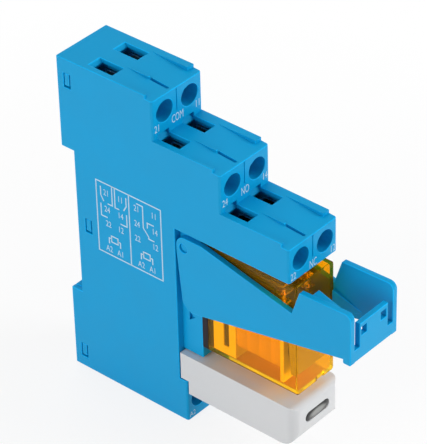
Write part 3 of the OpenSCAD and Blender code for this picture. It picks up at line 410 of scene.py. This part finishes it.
def smoked(name, rim, highlight_colour, middle, half):
    """Smoked clear plastic of the window, with a painted highlight in its middle, in front of the lamp,
    fading to its dark rim.
    """
    material, nodes, links, shader = new_finish(name)
    shader.inputs["Transmission Weight"].default_value = 0.40
    shader.inputs["IOR"].default_value = 1.46
    oval = nodes.new("ShaderNodeMapping")
    oval.inputs["Location"].default_value = (-middle.x / half.x, 0.0, -middle.z / half.z)
    oval.inputs["Scale"].default_value = (1.0 / half.x, 0.0, 1.0 / half.z)
    links.new(object_place(nodes), oval.inputs["Vector"])
    distance = vector_length(nodes, links, oval.outputs["Vector"])
    share = map_value(nodes, links, distance, low=(0.35, 0.0), high=(0.90, 1.0), curve="SMOOTHSTEP")
    # Painted highlight in the window's middle, fading to the dark rim
    mix_colour(nodes, links, shader, share, shade(highlight_colour, 1.0), shade(rim, 1.0))
    drift = object_noise(nodes, links, scale=400.0, detail=2.0)
    vary_roughness(nodes, links, shader, drift, low=0.08, high=0.16)
    return material


def wound(name, colour):
    """Taped winding: broad bands of tape, with the turns of the wire as fine relief under them."""
    material, nodes, links, shader = new_finish(name)
    turns = object_bands(nodes, links, scale=1100.0, detail=1.0, distortion=0.4, profile="SIN")
    tape = object_bands(nodes, links, scale=95.0, detail=2.0, distortion=0.3, profile="SAW")
    vary_colour(nodes, links, shader, tape, colour, spread=0.09)
    drift = object_noise(nodes, links, scale=300.0, detail=2.0)
    vary_roughness(nodes, links, shader, drift, low=0.30, high=0.46)
    add_bump(nodes, links, shader, turns, strength=0.35, depth=0.05 * MM)
    return material


def glowing(name, colour):
    """Clear lamp body, unlit."""
    material, nodes, links, shader = new_finish(name)
    shader.inputs["Transmission Weight"].default_value = 0.35
    drift = object_noise(nodes, links, scale=500.0, detail=2.0)
    vary_colour(nodes, links, shader, drift, colour, spread=0.08)
    vary_roughness(nodes, links, shader, drift, low=0.12, high=0.24)
    return material


def inked(name, colour):
    """Pad print: thin ink with a slightly broken cover."""
    material, nodes, links, shader = new_finish(name)
    speckle = object_noise(nodes, links, scale=2600.0, detail=3.0)
    vary_colour(nodes, links, shader, speckle, colour, spread=0.16)
    vary_roughness(nodes, links, shader, speckle, low=0.48, high=0.66)
    return material


# Pieces


def dress(node, material):
    """Gives a node of the frame its finish."""
    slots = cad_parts[node].data.materials
    slots.clear()
    slots.append(material)


def even_normals(piece, keep_sharp):
    """Lets the broad faces rule the shading of the rounded edges between them."""
    normals = piece.modifiers.new("Even normals", "WEIGHTED_NORMAL")
    normals.keep_sharp = keep_sharp
    normals.weight = NORMAL_WEIGHT


def soften(node, width, segments=2):
    """Rounds the sharp edges of a node of the frame."""
    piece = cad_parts[node]
    weld = piece.modifiers.new("Weld", "WELD")
    weld.merge_threshold = MERGE_GAP
    flat = piece.modifiers.new("Flat faces", "DECIMATE")
    flat.decimate_type = "DISSOLVE"
    flat.angle_limit = FLAT_ANGLE
    bevel = piece.modifiers.new("Soft edges", "BEVEL")
    bevel.width = width
    bevel.segments = segments
    bevel.limit_method = "ANGLE"
    bevel.angle_limit = SOFT_ANGLE
    bevel.miter_outer = "MITER_ARC"
    bevel.use_clamp_overlap = True
    even_normals(piece, keep_sharp=False)


def to_mesh(name, sheet):
    """Turns a bmesh into a mesh."""
    mesh = bpy.data.meshes.new(name)
    sheet.to_mesh(mesh)
    sheet.free()
    return mesh


def to_object(name, sheet, material):
    """Turns a bmesh into an object with a finish."""
    mesh = to_mesh(name, sheet)
    mesh.materials.append(material)
    thing = bpy.data.objects.new(name, mesh)
    bpy.context.scene.collection.objects.link(thing)
    return thing


def finish_piece(name, sheet, material, body):
    """Turns a bmesh into a piece that rides on a body."""
    piece = to_object(name, sheet, material)
    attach(piece, body)
    return piece


def stand_for(piece, node):
    """Puts a piece in the place of a node by hiding the node."""
    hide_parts(node)


def merged_copy(node):
    """A bmesh of a node with its doubled points merged and its flat faces whole."""
    sheet = bmesh.new()
    sheet.from_mesh(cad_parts[node].data)
    bmesh.ops.remove_doubles(sheet, verts=sheet.verts, dist=MERGE_GAP)
    bmesh.ops.dissolve_limit(sheet, angle_limit=FLAT_ANGLE, verts=sheet.verts, edges=sheet.edges)
    return sheet


def smooth_faces(sheet):
    """Smooth faces between edges that stay sharp."""
    for face in sheet.faces:
        face.smooth = True
    for edge in sheet.edges:
        edge.smooth = edge.is_manifold and edge.calc_face_angle() < SHARP_ANGLE


def reach(face, edge):
    """How far a face runs back from the line of one of its edges."""
    start = edge.verts[0].co
    line = (edge.verts[1].co - start).normalized()
    steps = [corner.co - start for corner in face.verts]
    return max((step - line * step.dot(line)).length for step in steps)


def is_outer(edge, tree, room):
    """True for an open outer edge with room on both of its faces."""
    if not edge.is_manifold or not edge.is_convex or edge.calc_face_angle() < OUTER_ANGLE:
        return False
    if min(reach(face, edge) for face in edge.link_faces) < room:
        return False
    out = (edge.link_faces[0].normal + edge.link_faces[1].normal).normalized()
    middle = (edge.verts[0].co + edge.verts[1].co) / 2
    return tree.ray_cast(middle + out * RAY_START, out, RAY_REACH)[0] is None


def round_outside(name, node, body, material, width, room):
    """A copy of a node with its open outer edges rounded and marked for a painted highlight, which
    stands for the node.
    """
    sheet = merged_copy(node)
    painted_highlight = sheet.faces.layers.float.new(EDGE_HIGHLIGHT_ATTRIBUTE)
    tree = BVHTree.FromBMesh(sheet)
    outer = [edge for edge in sheet.edges if is_outer(edge, tree, room)]
    rounded = bmesh.ops.bevel(
        sheet, geom=outer, offset=width, offset_type="OFFSET", segments=ROUND_STEPS, profile=0.5,
        affect="EDGES", material=-1, clamp_overlap=False, loop_slide=False
    )["faces"]
    # The rounded faces carry the painted edge highlight
    for face in rounded:
        face[painted_highlight] = 1.0
    bmesh.ops.dissolve_degenerate(sheet, edges=sheet.edges, dist=SLIVER)
    smooth_faces(sheet)
    piece = finish_piece(name, sheet, material, body)
    even_normals(piece, keep_sharp=True)
    stand_for(piece, node)


def face_place(origin, across, up):
    """Matrix that lays flat work on a face: across and up are unit vectors in the face."""
    out = across.cross(up)
    return Matrix.Translation(origin) @ Matrix((across, up, out)).transposed().to_4x4()


def lay_print(sheet, mesh, place):
    """Lays flat print on its place in a bmesh."""
    mesh.transform(place)
    sheet.from_mesh(mesh)
    bpy.data.meshes.remove(mesh)


def add_words(sheet, words, height, place, squeeze):
    """Adds lettering of a height, centred on a place, to a bmesh."""
    line = bpy.data.curves.new("lettering", "FONT")
    line.body = words
    line.size = height / CAPITAL_SHARE
    line.align_x = "CENTER"
    line.align_y = "CENTER"
    line.extrude = bpy.context.scene.relay_sizes.print_t / 2
    line.resolution_u = LETTER_STEPS
    lettering = bpy.data.objects.new("lettering", line)
    bpy.context.scene.collection.objects.link(lettering)
    drawn = lettering.evaluated_get(bpy.context.evaluated_depsgraph_get())
    mesh = bpy.data.meshes.new_from_object(drawn)
    lay_print(sheet, mesh, place @ Matrix.Diagonal((squeeze, 1.0, 1.0, 1.0)))
    bpy.data.objects.remove(lettering)
    bpy.data.curves.remove(line)


def add_path(sheet, points, place):
    """Adds a printed line of even width through several points, given in millimetres, to a bmesh."""
    sizes = bpy.context.scene.relay_sizes
    line = [Vector((across * MM, up * MM, -sizes.print_t / 2)) for across, up in points]
    runs = [(end - start).normalized() for start, end in zip(line, line[1:])]
    closed = points[0] == points[-1]
    strip = bmesh.new()
    rung = right = None
    for index, point in enumerate(line):
        before = runs[index - 1] if index or closed else runs[0]
        after = runs[index % len(runs)] if index < len(runs) or closed else runs[-1]
        bend = UP.cross(before) + UP.cross(after)
        half = bend * (sizes.print_line / bend.length_squared)
        if rung is None:
            right = strip.verts.new(point + half)
            rung = strip.edges.new((strip.verts.new(point - half), right))
            continue
        made = bmesh.ops.extrude_edge_only(strip, edges=[rung])["geom"]
        rung = next(part for part in made if isinstance(part, bmesh.types.BMEdge))
        right = next(
            vert for vert in rung.verts if any(right in edge.verts for edge in vert.link_edges)
        )
        right.co = point + half
        rung.other_vert(right).co = point - half
    bmesh.ops.remove_doubles(strip, verts=strip.verts, dist=SLIVER)
    made = bmesh.ops.extrude_face_region(strip, geom=strip.faces[:], use_keep_orig=True)["geom"]
    upper = [part for part in made if isinstance(part, bmesh.types.BMVert)]
    bmesh.ops.translate(strip, verts=upper, vec=UP * sizes.print_t)
    bmesh.ops.recalc_face_normals(strip, faces=strip.faces)
    lay_print(sheet, to_mesh("printed line", strip), place)


# Steps


class RELAY_OT_dress_socket(Operator):
    """Finish the moulded socket, its rear cover and the sliding foot"""

    bl_idname = "relay.dress_socket"
    bl_label = "Dress Socket"

    def execute(self, context):
        colours, sizes = context.scene.relay_colours, context.scene.relay_sizes
        # Socket moulding with a painted highlight on its rounded edges
        blue = moulded("socket moulding", colours.socket_blue, roughness=0.40, with_edge_highlight=True)
        dress("socket_body", blue)
        round_outside("socket_shell", "socket_body", "socket", blue, sizes.socket_edge, SOCKET_ROOM)
        dress("rear_cover", blue)
        round_outside("rear_shell", "rear_cover", "socket", blue, sizes.socket_edge, SOCKET_ROOM)
        dress("rail_latch", moulded("latch moulding", colours.latch_black, roughness=0.44))
        soften("rail_latch", sizes.socket_edge)
        return {"FINISHED"}


class RELAY_OT_dress_clip(Operator):
    """Finish the swinging clip"""

    bl_idname = "relay.dress_clip"
    bl_label = "Dress Clip"

    def execute(self, context):
        colours, sizes = context.scene.relay_colours, context.scene.relay_sizes
        # Clip moulding with a painted highlight on its rounded edges
        blue = moulded(
            "clip moulding", colours.socket_blue, roughness=0.37, flow=CLIP_FLOW, with_edge_highlight=True
        )
        dress("retaining_clip", blue)
        round_outside("clip_shell", "retaining_clip", "clip", blue, sizes.clip_edge, CLIP_ROOM)
        return {"FINISHED"}


class RELAY_OT_dress_terminals(Operator):
    """Finish the screws, cages and conductor strips"""

    bl_idname = "relay.dress_terminals"
    bl_label = "Dress Terminals"

    def execute(self, context):
        colours, sizes = context.scene.relay_colours, context.scene.relay_sizes
        screw = plated("plated screw", colours.plated_steel, roughness=0.30, stretch=ALONG_Y)
        cage = plated("plated cage", colours.plated_steel, roughness=0.26, stretch=ALONG_Z)
        strip = plated("drawn brass", colours.contact_brass, roughness=0.28, stretch=ALONG_Z)
        for terminal in CONTACT_ENDS + COIL_ENDS:
            dress("screw_" + terminal, screw)
            dress("cage_" + terminal, cage)
            dress("strip_" + terminal, strip)
            soften("screw_" + terminal, sizes.small_edge)
            soften("cage_" + terminal, sizes.small_edge)
        return {"FINISHED"}


class RELAY_OT_dress_relay(Operator):
    """Finish the plug-in relay: clear cover, base, coil and contacts"""

    bl_idname = "relay.dress_relay"
    bl_label = "Dress Relay"

    def execute(self, context):
        colours, sizes = context.scene.relay_colours, context.scene.relay_sizes
        amber = clear_amber("clear amber cover", colours.amber)
        dress("relay_cover", amber)
        round_outside("cover_shell", "relay_cover", "socket", amber, sizes.cover_edge, COVER_ROOM)
        dress("relay_base", moulded("base moulding", colours.base_black, roughness=0.42))
        dress("coil_bobbin", moulded("bobbin moulding", colours.bobbin_yellow, roughness=0.34))
        iron = plated("plated iron", colours.iron_grey, roughness=0.42, stretch=ALONG_X)
        dress("coil_core", iron)
        dress("yoke", iron)
        steel = plated("armature steel", colours.plated_steel, roughness=0.34, stretch=ALONG_X)
        dress("armature", steel)
        dress("actuator_card", moulded("card moulding", colours.card_white, roughness=0.40))
        brass = plated("spring brass", colours.contact_brass, roughness=0.26, stretch=ALONG_Y)
        contacts = (
            "moving_spring", "common_terminal", "closed_terminal", "open_terminal", "coil_pin"
        )
        for number in SETS:
            for piece in contacts:
                dress(f"{piece}_{number}", brass)
        for node in ("relay_base", "coil_bobbin", "yoke", "armature", "actuator_card"):
            soften(node, sizes.small_edge)
        return {"FINISHED"}


class RELAY_OT_wrap_coil(Operator):
    """Wrap the winding with tape: a squarish roll round the tube of the bobbin"""

    bl_idname = "relay.wrap_coil"
    bl_label = "Wrap Coil"

    def execute(self, context):
        colours, sizes = context.scene.relay_colours, context.scene.relay_sizes
        tape = wound("taped winding", colours.winding_orange)
        dress("coil_winding", tape)
        low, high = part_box("coil_winding")
        size = high - low
        middle = Matrix.Translation((low + high) / 2)
        roll = middle @ Matrix.Diagonal((size.x, size.y, size.z + sizes.coil_rise, 1.0))
        sheet = bmesh.new()
        bmesh.ops.create_cube(sheet, size=1.0, matrix=roll)
        along = [
            edge for edge in sheet.edges if abs(edge.verts[0].co.y - edge.verts[1].co.y) > size.y / 2
        ]
        bmesh.ops.bevel(
            sheet, geom=along, offset=sizes.coil_corner, offset_type="OFFSET", segments=CORNER_STEPS,
            profile=0.5, affect="EDGES", material=-1
        )
        ends = [face for face in sheet.faces if len(face.verts) > 4]
        bmesh.ops.delete(sheet, geom=ends, context="FACES_ONLY")
        bore = bmesh.ops.create_cone(
            sheet, cap_ends=False, segments=BORE_STEPS, radius1=sizes.coil_bore / 2,
            radius2=sizes.coil_bore / 2, depth=size.y,
            matrix=middle @ Matrix.Rotation(math.radians(90.0), 4, "X")
        )["verts"]
        inner = {face for vert in bore for face in vert.link_faces}
        bmesh.ops.reverse_faces(sheet, faces=list(inner))
        for end in (low.y, high.y):
            rims = [
                edge for edge in sheet.edges
                if all(abs(vert.co.y - end) < RIM_GAP for vert in edge.verts)
            ]
            bmesh.ops.bridge_loops(sheet, edges=rims)
        bmesh.ops.recalc_face_normals(sheet, faces=sheet.faces)
        smooth_faces(sheet)
        stand_for(finish_piece("taped_coil", sheet, tape, "socket"), "coil_winding")
        return {"FINISHED"}


class RELAY_OT_dress_module(Operator):
    """Finish the plug-in indicator module"""

    bl_idname = "relay.dress_module"
    bl_label = "Dress Indicator Module"

    def execute(self, context):
        colours, sizes = context.scene.relay_colours, context.scene.relay_sizes
        white = moulded("module moulding", colours.module_white, roughness=0.42, spread=0.02)
        dress("module_housing", white)
        dress("module_plug", white)
        dress("module_board", moulded("board lacquer", colours.board_green, roughness=0.36))
        dress("module_led", glowing("lamp body", colours.lamp_green))
        dress("module_diode", moulded("diode body", colours.diode_black, roughness=0.35))
        blade = plated("tinned blade", colours.plated_steel, roughness=0.28, stretch=ALONG_Y)
        for number in SETS:
            dress(f"module_blade_{number}", blade)
        soften("module_housing", sizes.module_edge, segments=ROUND_STEPS)
        soften("module_plug", sizes.small_edge)
        return {"FINISHED"}


class RELAY_OT_shape_window(Operator):
    """Shape the window of the indicator module: a smoked lens over the lamp"""

    bl_idname = "relay.shape_window"
    bl_label = "Shape Window"

    def execute(self, context):
        colours, sizes = context.scene.relay_colours, context.scene.relay_sizes
        low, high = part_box("module_window")
        half = (high - low) / 2
        # The window gets a painted highlight in its middle
        smoke = smoked("smoked window", colours.window_smoke, colours.window_highlight, low + half, half)
        dress("module_window", smoke)
        sheet = merged_copy("module_window")
        front = min(sheet.faces, key=lambda face: face.calc_center_median().y)
        height = 0.0
        for ring in range(1, LENS_RINGS):
            share = 1.0 - ring / LENS_RINGS
            rise = sizes.lens_rise * math.sqrt(1.0 - share * share)
            bmesh.ops.inset_region(
                sheet, faces=[front], thickness=half.z / LENS_RINGS, depth=rise - height,
                use_boundary=True, use_even_offset=True
            )
            height = rise
        smooth_faces(sheet)
        stand_for(finish_piece("window_lens", sheet, smoke, "socket"), "module_window")
        return {"FINISHED"}


class RELAY_OT_print_marks(Operator):
    """Print the terminal numbers and the contact words on the faces of the steps"""

    bl_idname = "relay.print_marks"
    bl_label = "Print Terminal Marks"

    def execute(self, context):
        colours, sizes = context.scene.relay_colours, context.scene.relay_sizes
        sheet = bmesh.new()
        for terminal in CONTACT_ENDS:
            place = self.on_step(terminal, NUMBER_SIDE, NUMBER_DROP, sizes.screw_sink)
            add_words(sheet, terminal, sizes.number_h, place, NUMBER_SQUEEZE)
        for word, terminal in STEP_WORDS:
            place = self.on_step(terminal, 0.0, WORD_DROP, sizes.screw_sink)
            add_words(sheet, word, sizes.word_h, place, WORD_SQUEEZE)
        for terminal in COIL_ENDS:
            place = self.on_step(terminal, COIL_SIDE, COIL_DROP, sizes.screw_sink)
            add_words(sheet, terminal.upper(), sizes.coil_h, place, COIL_SQUEEZE)
        finish_piece("terminal_marks", sheet, inked("mark ink", colours.print_pale), "socket")
        return {"FINISHED"}

    @staticmethod
    def on_step(terminal, side, drop, sink):
        """Place on the face of a step, below the screw of a terminal and on its side of the middle."""
        low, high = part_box("screw_" + terminal)
        x = -side if terminal in LEFT_ENDS else side
        return face_place(Vector((x, low.y - sink, (low.z + high.z) / 2 - drop)), RIGHT, UP)


class RELAY_OT_print_diagram(Operator):
    """Print the wiring diagram on the left side of the socket"""

    bl_idname = "relay.print_diagram"
    bl_label = "Print Wiring Diagram"

    def execute(self, context):
        colours, sizes = context.scene.relay_colours, context.scene.relay_sizes
        sheet = bmesh.new()
        side = face_place(Vector((cad_low.x, 0.0, 0.0)), FORWARD, UP)
        for points in DIAGRAM_LINES:
            add_path(sheet, points, side)
        for middle in SIGN_MIDDLES:
            for turn in (-1.0, 1.0):
                lead, box = middle + turn * LEAD_HALF, middle + turn * SIGN_HALF
                add_path(sheet, [(lead, LEAD_LOW), (lead, LEAD_HIGH), (box, LEAD_HIGH)], side)
            add_path(sheet, rectangle(middle - SIGN_HALF, middle + SIGN_HALF, SIGN_LOW, SIGN_HIGH), side)
        for words, across, up in DIAGRAM_WORDS:
            place = side @ Matrix.Translation((across * MM, up * MM, 0.0))
            add_words(sheet, words, sizes.diagram_h, place, DIAGRAM_SQUEEZE)
        finish_piece("wiring_diagram", sheet, inked("diagram ink", colours.print_pale), "socket")
        return {"FINISHED"}


class RELAY_OT_build_stage(Operator):
    """Lay the floor, set the lights and the camera"""

    bl_idname = "relay.build_stage"
    bl_label = "Build Stage"

    def execute(self, context):
        self.lay_floor(context)
        self.set_world(context)
        for lamp in LAMPS:
            self.set_lamp(context, *lamp)
        self.set_camera(context)
        context.scene.view_settings.view_transform = "Standard"
        return {"FINISHED"}

    @staticmethod
    def seen_rays(nodes, links):
        """1 where the camera, a reflection or a clear piece looks straight at the surface."""
        path = nodes.new("ShaderNodeLightPath")
        seen = path.outputs["Is Camera Ray"]
        for output in ("Is Glossy Ray", "Is Transmission Ray"):
            seen = join_values(nodes, links, "MAXIMUM", seen, path.outputs[output])
        return seen

    def lay_floor(self, context):
        """A pale floor that turns to plain white away from the object and keeps its shadow."""
        material, nodes, links, shader = new_finish("pale floor")
        shader.inputs["Roughness"].default_value = 0.9
        speck = object_noise(nodes, links, scale=12.0, detail=2.0)
        vary_colour(nodes, links, shader, speck, context.scene.relay_colours.floor_pale, spread=0.01)
        glow = nodes.new("ShaderNodeEmission")
        glow.inputs["Strength"].default_value = 1.0
        distance = vector_length(nodes, links, object_place(nodes))
        share = map_value(nodes, links, distance, FLOOR_NEAR, FLOOR_FAR)
        share = join_values(nodes, links, "MULTIPLY", self.seen_rays(nodes, links), share)
        mix_surface(nodes, links, share, shader, glow, "Material Output")
        level = Matrix.Translation((0.0, 0.0, cad_low.z - FLOOR_GAP))
        sheet = bmesh.new()
        bmesh.ops.create_grid(sheet, x_segments=1, y_segments=1, size=FLOOR_SIZE, matrix=level)
        floor = to_object("floor", sheet, material)

    def set_world(self, context):
        """Soft light from all round, which looks white at the walls and darker at the ceiling."""
        world = bpy.data.worlds.new("studio")
        context.scene.world = world
        world.use_nodes = True
        nodes, links = world.node_tree.nodes, world.node_tree.links
        soft = nodes["Background"]
        soft.inputs["Color"].default_value = WHITE
        soft.inputs["Strength"].default_value = SOFT_LIGHT
        seen = nodes.new("ShaderNodeBackground")
        seen.inputs["Color"].default_value = WHITE
        ray = nodes.new("ShaderNodeSeparateXYZ")
        links.new(object_place(nodes), ray.inputs["Vector"])
        strength = map_value(nodes, links, ray.outputs["Z"], WALLS, CEILING)
        links.new(strength, seen.inputs["Strength"])
        mix_surface(nodes, links, self.seen_rays(nodes, links), soft, seen, "World Output")

    @staticmethod
    def set_lamp(context, name, place, width, power, in_gloss):
        """A square lamp that faces the object."""
        lamp = bpy.data.lights.new(name, "AREA")
        lamp.shape = "SQUARE"
        lamp.size = width
        lamp.energy = power
        holder = bpy.data.objects.new(name, lamp)
        holder.location = place
        holder.rotation_mode = "QUATERNION"
        holder.rotation_quaternion = (-Vector(place)).to_track_quat("-Z", "Y")
        holder.visible_glossy = in_gloss
        context.scene.collection.objects.link(holder)

    @staticmethod
    def set_camera(context):
        """The camera at the photograph's angle."""
        lens = bpy.data.cameras.new("camera")
        lens.lens = LENS_LENGTH
        lens.sensor_width = SENSOR_WIDTH
        lens.clip_start = VIEW_NEAR
        lens.clip_end = VIEW_FAR
        camera = bpy.data.objects.new("camera", lens)
        camera.location = CAMERA_PLACE
        camera.rotation_mode = "QUATERNION"
        level = Vector(CAMERA_LINE).to_track_quat("-Z", "Y")
        camera.rotation_quaternion = level @ Quaternion(UP, CAMERA_ROLL)
        context.scene.collection.objects.link(camera)
        context.scene.camera = camera


class RELAY_PT_dressing(Panel):
    """Lists the steps that dress the relay"""

    bl_label = "Interface Relay"
    bl_idname = "RELAY_PT_dressing"
    bl_space_type = "VIEW_3D"
    bl_region_type = "UI"
    bl_category = "Relay"

    def draw(self, context):
        column = self.layout.column(align=True)
        for operator in OPERATORS:
            column.operator(operator.bl_idname)
        for group in (context.scene.relay_colours, context.scene.relay_sizes):
            column = self.layout.column()
            for name in group.bl_rna.properties.keys():
                if name not in ("rna_type", "name"):
                    column.prop(group, name)


OPERATORS = (
    RELAY_OT_dress_socket,
    RELAY_OT_dress_clip,
    RELAY_OT_dress_terminals,
    RELAY_OT_dress_relay,
    RELAY_OT_wrap_coil,
    RELAY_OT_dress_module,
    RELAY_OT_shape_window,
    RELAY_OT_print_marks,
    RELAY_OT_print_diagram,
    RELAY_OT_build_stage,
)
CLASSES = (RelayColours, RelaySizes, *OPERATORS, RELAY_PT_dressing)


def register():
    for cls in CLASSES:
        bpy.utils.register_class(cls)
    bpy.types.Scene.relay_colours = PointerProperty(type=RelayColours)
    bpy.types.Scene.relay_sizes = PointerProperty(type=RelaySizes)


def unregister():
    del bpy.types.Scene.relay_sizes
    del bpy.types.Scene.relay_colours
    for cls in reversed(CLASSES):
        bpy.utils.unregister_class(cls)


def main():
    register()
    bpy.ops.relay.dress_socket()
    bpy.ops.relay.dress_clip()
    bpy.ops.relay.dress_terminals()
    bpy.ops.relay.dress_relay()
    bpy.ops.relay.wrap_coil()
    bpy.ops.relay.dress_module()
    bpy.ops.relay.shape_window()
    bpy.ops.relay.print_marks()
    bpy.ops.relay.print_diagram()
    bpy.ops.relay.build_stage()


if __name__ == "__main__":
    main()
